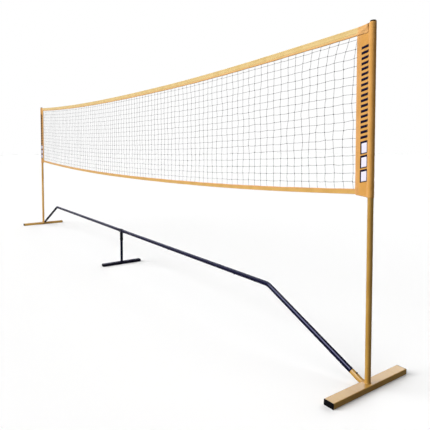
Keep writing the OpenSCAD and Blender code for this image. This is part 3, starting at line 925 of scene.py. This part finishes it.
def sleeve_surface(run, z, seed, out=0.0):
    """The place, from the post's axis, of a point at run along the section. out is off the cloth."""
    x = np.interp(run, SECTION_RUN, SECTION_X)
    y = np.interp(run, SECTION_RUN, SECTION_Y)
    layer = np.where(run < SECTION_RUN[-1] / 2, -1.0, 1.0)
    on_band = smooth(x, -SEAM + 3 * MM, -SEAM)
    y = y + on_band * (band_surface(x, z, layer, seed) - y)
    off = RIPPLE * waves(z, (0.09, 0.041, 0.023), seed + 9) * (1 - on_band) + out
    normal_x = np.interp(run, SECTION_RUN, SECTION_NORMAL[0])
    normal_y = np.interp(run, SECTION_RUN, SECTION_NORMAL[1])
    return x + off * normal_x, y + off * normal_y


def make_sleeve(side_name, side):
    """One sleeve with its seams and its print. side is -1 on the left and 1 on the right."""
    seed = 200 + side
    low, high = sleeve_edges(SECTION_X)
    rows = np.linspace(0, 1, SLEEVE_ROWS)[:, None]
    z = low + (high - low) * rows
    run = np.broadcast_to(SECTION_RUN, z.shape)
    x, y = sleeve_surface(run, z, seed)
    points = np.stack([side * (POST_X + x), y, z], axis=-1)
    # Near the mesh the band takes the salmon edge tint. Down the pocket's edge beside the band it goes
    # half-way to that tint, a painted highlight strip where the cloth turns round the post.
    pocket_painted_highlight = np.exp(-(((x + POCKET_R - 1.5 * MM) / (3.5 * MM)) ** 2))
    tint = smooth(x, -BAND + 2 * MM, -BAND + 30 * MM) * (1 - 0.5 * pocket_painted_highlight)
    soup = Soup()
    faces = grid_faces(SLEEVE_ROWS, len(SECTION_X), False, side < 0)
    soup.add(points, faces, np.stack([z, run, tint], axis=-1))
    made = soup.build(f"sleeve_{side_name}_cloth", SLEEVE, "sleeve_cloth", "cloth")
    thicken(made, SLEEVE_CLOTH)
    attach(made, "net")
    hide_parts(f"sleeve_{side_name}")
    seams = sleeve_stitches(side_name, side, seed)
    prints = sleeve_print(side_name, side, seed)


def sleeve_stitches(side_name, side, seed):
    """Seams on both layers: beside the post, along both edges of the inner hem, and at the bottom."""
    out = SLEEVE_CLOTH / 2
    soup = Soup()
    for layer in (-1, 1):
        for x_at, below, above in DOWN_SEAMS:
            low, high = sleeve_edges(np.array([x_at]))
            z = np.arange(low[0] + below, high[0] - above, SLEEVE_PITCH)
            x = np.full(len(z), x_at)
            places = np.stack([side * (POST_X + x), band_surface(x, z, layer, seed, out), z], axis=-1)
            add_stitches(soup, places, UP, layer * ACROSS, SLEEVE_STITCH)
        x = np.arange(-BAND + 8 * MM, -SEAM - 2 * MM, SLEEVE_PITCH)
        z = sleeve_edges(x)[0] + HEM - 2 * MM
        places = np.stack([side * (POST_X + x), band_surface(x, z, layer, seed, out), z], axis=-1)
        add_stitches(soup, places, side * ALONG, layer * ACROSS, SLEEVE_STITCH)
    made = soup.build(f"sleeve_{side_name}_stitches", THREAD, "sleeve_cloth", "strand")
    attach(made, "net")
    return made


# ---------------------------------------------------------------------------
# Print on the sleeves: plain slanted bars above, and outlined pale blocks below
# ---------------------------------------------------------------------------
# Width of the print, where it starts along the cloth on each sleeve, and its top
PRINT_WIDE = 41 * MM
PRINT_FROM = {"left": 42 * MM, "right": 24 * MM}
PRINT_TOP = SLEEVE_HIGH.z - 86 * MM
BAR_COUNT = 18
BAR_PITCH = 22.4 * MM
BAR_TALL = 11.5 * MM
SLANT = 9 * MM
BLOCK_TOP = PRINT_TOP - BAR_COUNT * BAR_PITCH
BLOCK_COUNT = 3
BLOCK_PITCH = 61 * MM
BLOCK_TALL = 55 * MM
OUTLINE = 6.5 * MM
# Thickness of the ink, and how far the white lies off the cloth
INK = 0.07 * MM
WHITE_OUT = 2.4 * INK


def add_patch(soup, side, layer, seed, start, top, wide, tall, out):
    """A slanted patch of ink that follows the cloth. start is along the section; out is off the cloth."""
    down = np.linspace(0, 1, max(3, round(tall / (3 * MM))))
    inside = (SECTION_RUN > start + 0.2 * MM) & (SECTION_RUN < start + wide - 0.2 * MM)
    across = np.concatenate([[start], SECTION_RUN[inside], [start + wide]])
    run = across[None] + 0 * down[:, None]
    fall = SLANT * (1 - (run - start) / PRINT_WIDE)
    z = top - tall * down[:, None] - fall
    if layer > 0:
        run = SECTION_RUN[-1] - run
    x, y = sleeve_surface(run, z, seed, SLEEVE_CLOTH / 2 + out)
    points = np.stack([side * (POST_X + x), y, z], axis=-1)
    faces = grid_faces(len(down), len(across), False, side * layer < 0)
    soup.add(points, faces, np.stack([run, z, 0 * z], axis=-1))


def sleeve_print(side_name, side, seed):
    """The print on both layers of a sleeve: navy bars, and white blocks on larger navy ones."""
    navy, white = Soup(), Soup()
    start = PRINT_FROM[side_name]
    inner_wide, inner_tall = PRINT_WIDE - 2 * OUTLINE, BLOCK_TALL - 2 * OUTLINE
    for layer in (-1, 1):
        for i in range(BAR_COUNT):
            top = PRINT_TOP - i * BAR_PITCH
            add_patch(navy, side, layer, seed, start, top, PRINT_WIDE, BAR_TALL, INK)
        for i in range(BLOCK_COUNT):
            top = BLOCK_TOP - i * BLOCK_PITCH
            inner_top = top - OUTLINE - SLANT * OUTLINE / PRINT_WIDE
            add_patch(navy, side, layer, seed, start, top, PRINT_WIDE, BLOCK_TALL, INK)
            add_patch(white, side, layer, seed, start + OUTLINE, inner_top, inner_wide, inner_tall,
                      WHITE_OUT)
    made = []
    for soup, name, material in ((navy, "navy", NAVY_INK), (white, "white", WHITE_INK)):
        piece = soup.build(f"sleeve_{side_name}_{name}_print", material, "sleeve_cloth", "cloth")
        thicken(piece, INK)
        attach(piece, "net")
        made.append(piece)
    return made


# ---------------------------------------------------------------------------
# Weld beads on the end stands and on the centre foot
# ---------------------------------------------------------------------------
BEAD_R = 2.3 * MM
BEAD_SIDES = 10
# A ring bead's line stands this far off the tube and above the bar. A ripple is this many steps long
BEAD_OUT = 0.5 * MM
BEAD_UP = 0.3 * MM
RING_STEPS = 241
RING_RIPPLE = 5.0
# The slanted stub's angle, the height of its axis at the foot bar's inner face, and how far round it
# the bead goes each way from its top, in radians
SLOPE = math.radians(24.5)
ROOT_Z = 15.06 * MM
ROOT_TURN = 2.3
ROOT_STEPS = 181
ROOT_RIPPLE = 4.0


def add_bead(soup, path, outward, up, ripple):
    """A weld bead along a closed or open line, with the ripples that welding leaves."""
    steps = np.arange(len(path))
    ripples = 0.13 * np.abs(np.sin(math.pi * steps / ripple)) + 0.08 * waves(steps, (23.0, 37.0), 5)
    add_tube(soup, path, BEAD_R * (1 + ripples), BEAD_SIDES, outward, up)


def add_ring_bead(soup, x, bar_top, tube_r):
    """A bead round an upright tube's foot, on top of a bar."""
    turn = np.linspace(0, 2 * math.pi, RING_STEPS)[:, None]
    out = np.cos(turn) * ALONG + np.sin(turn) * ACROSS
    centre = np.array([x, 0, bar_top + BEAD_UP])
    add_bead(soup, centre + (tube_r + BEAD_OUT) * out, -out, UP, RING_RIPPLE)


def root_line(side):
    """Where the slanted stub meets the foot bar's inner face and, higher up, the bar's top."""
    path, out = [], []
    for turn in np.linspace(-ROOT_TURN, ROOT_TURN, ROOT_STEPS):
        rise = POST_R * math.cos(turn)
        x, z = 0.0, ROOT_Z + rise / math.cos(SLOPE)
        if z > FOOT_HIGH.z:
            run = (ROOT_Z + rise * math.cos(SLOPE) - FOOT_HIGH.z) / math.sin(SLOPE)
            x, z = run * math.cos(SLOPE) + rise * math.sin(SLOPE), FOOT_HIGH.z
        path.append((side * (FOOT_LOW.x + x), POST_R * math.sin(turn), z))
        out.append((side * 0.5 * math.cos(turn), math.sin(turn), math.cos(turn)))
    return np.array(path), np.array(out)


def add_root_bead(soup, side):
    """A bead along the slanted stub's root."""
    path, out = root_line(side)
    along = np.gradient(path, axis=0)
    away = np.cross(along, out) * (-side)
    away /= np.linalg.norm(away, axis=1)[:, None]
    out = np.cross(away, along)
    out /= np.linalg.norm(out, axis=1)[:, None]
    add_bead(soup, path, out, away, ROOT_RIPPLE)


def make_welds():
    """Beads where the posts' and the spine's stubs meet the foot bars, and under the centre leg."""
    for side_name, side in SIDES:
        soup = Soup()
        add_ring_bead(soup, side * POST_X, FOOT_HIGH.z, POST_R)
        add_root_bead(soup, side)
        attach(soup.build(f"post_weld_{side_name}", GOLD, "gold_steel", "strand"), "base")
    leg_low, leg_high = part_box("centre_leg")
    soup = Soup()
    add_ring_bead(soup, 0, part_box("centre_foot")[1].z, (leg_high.y - leg_low.y) / 2)
    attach(soup.build("leg_weld", NAVY, "navy_steel", "strand"), "centre_support")


def make_spring(place, side_name):
    """A copy of a CAD spring, which takes the place of the CAD node."""
    node = f"{place}_spring_{side_name}"
    leaf = bpy.data.objects.new(f"{place}_leaf_{side_name}", frame["nodes"][node].data.copy())
    bpy.context.scene.collection.objects.link(leaf)
    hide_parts(node)
    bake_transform(leaf)


def make_springs():
    """The spring behind each snap button."""
    for place in ("foot", "bend", "mid", "tee"):
        for side_name, _ in SIDES:
            make_spring(place, side_name)


make_camera()
make_lights()
make_floor()
finish_cad_nodes()
net_knots = knot_grid()
make_strings(net_knots)
make_knots(net_knots)
make_tapes()
make_cord("head_rope", TOP, "head_cord", 1)
make_cord("foot_rope", BOTTOM, "foot_cord", -1)
for sleeve_name, sleeve_side in SIDES:
    make_sleeve(sleeve_name, sleeve_side)
make_welds()
make_springs()
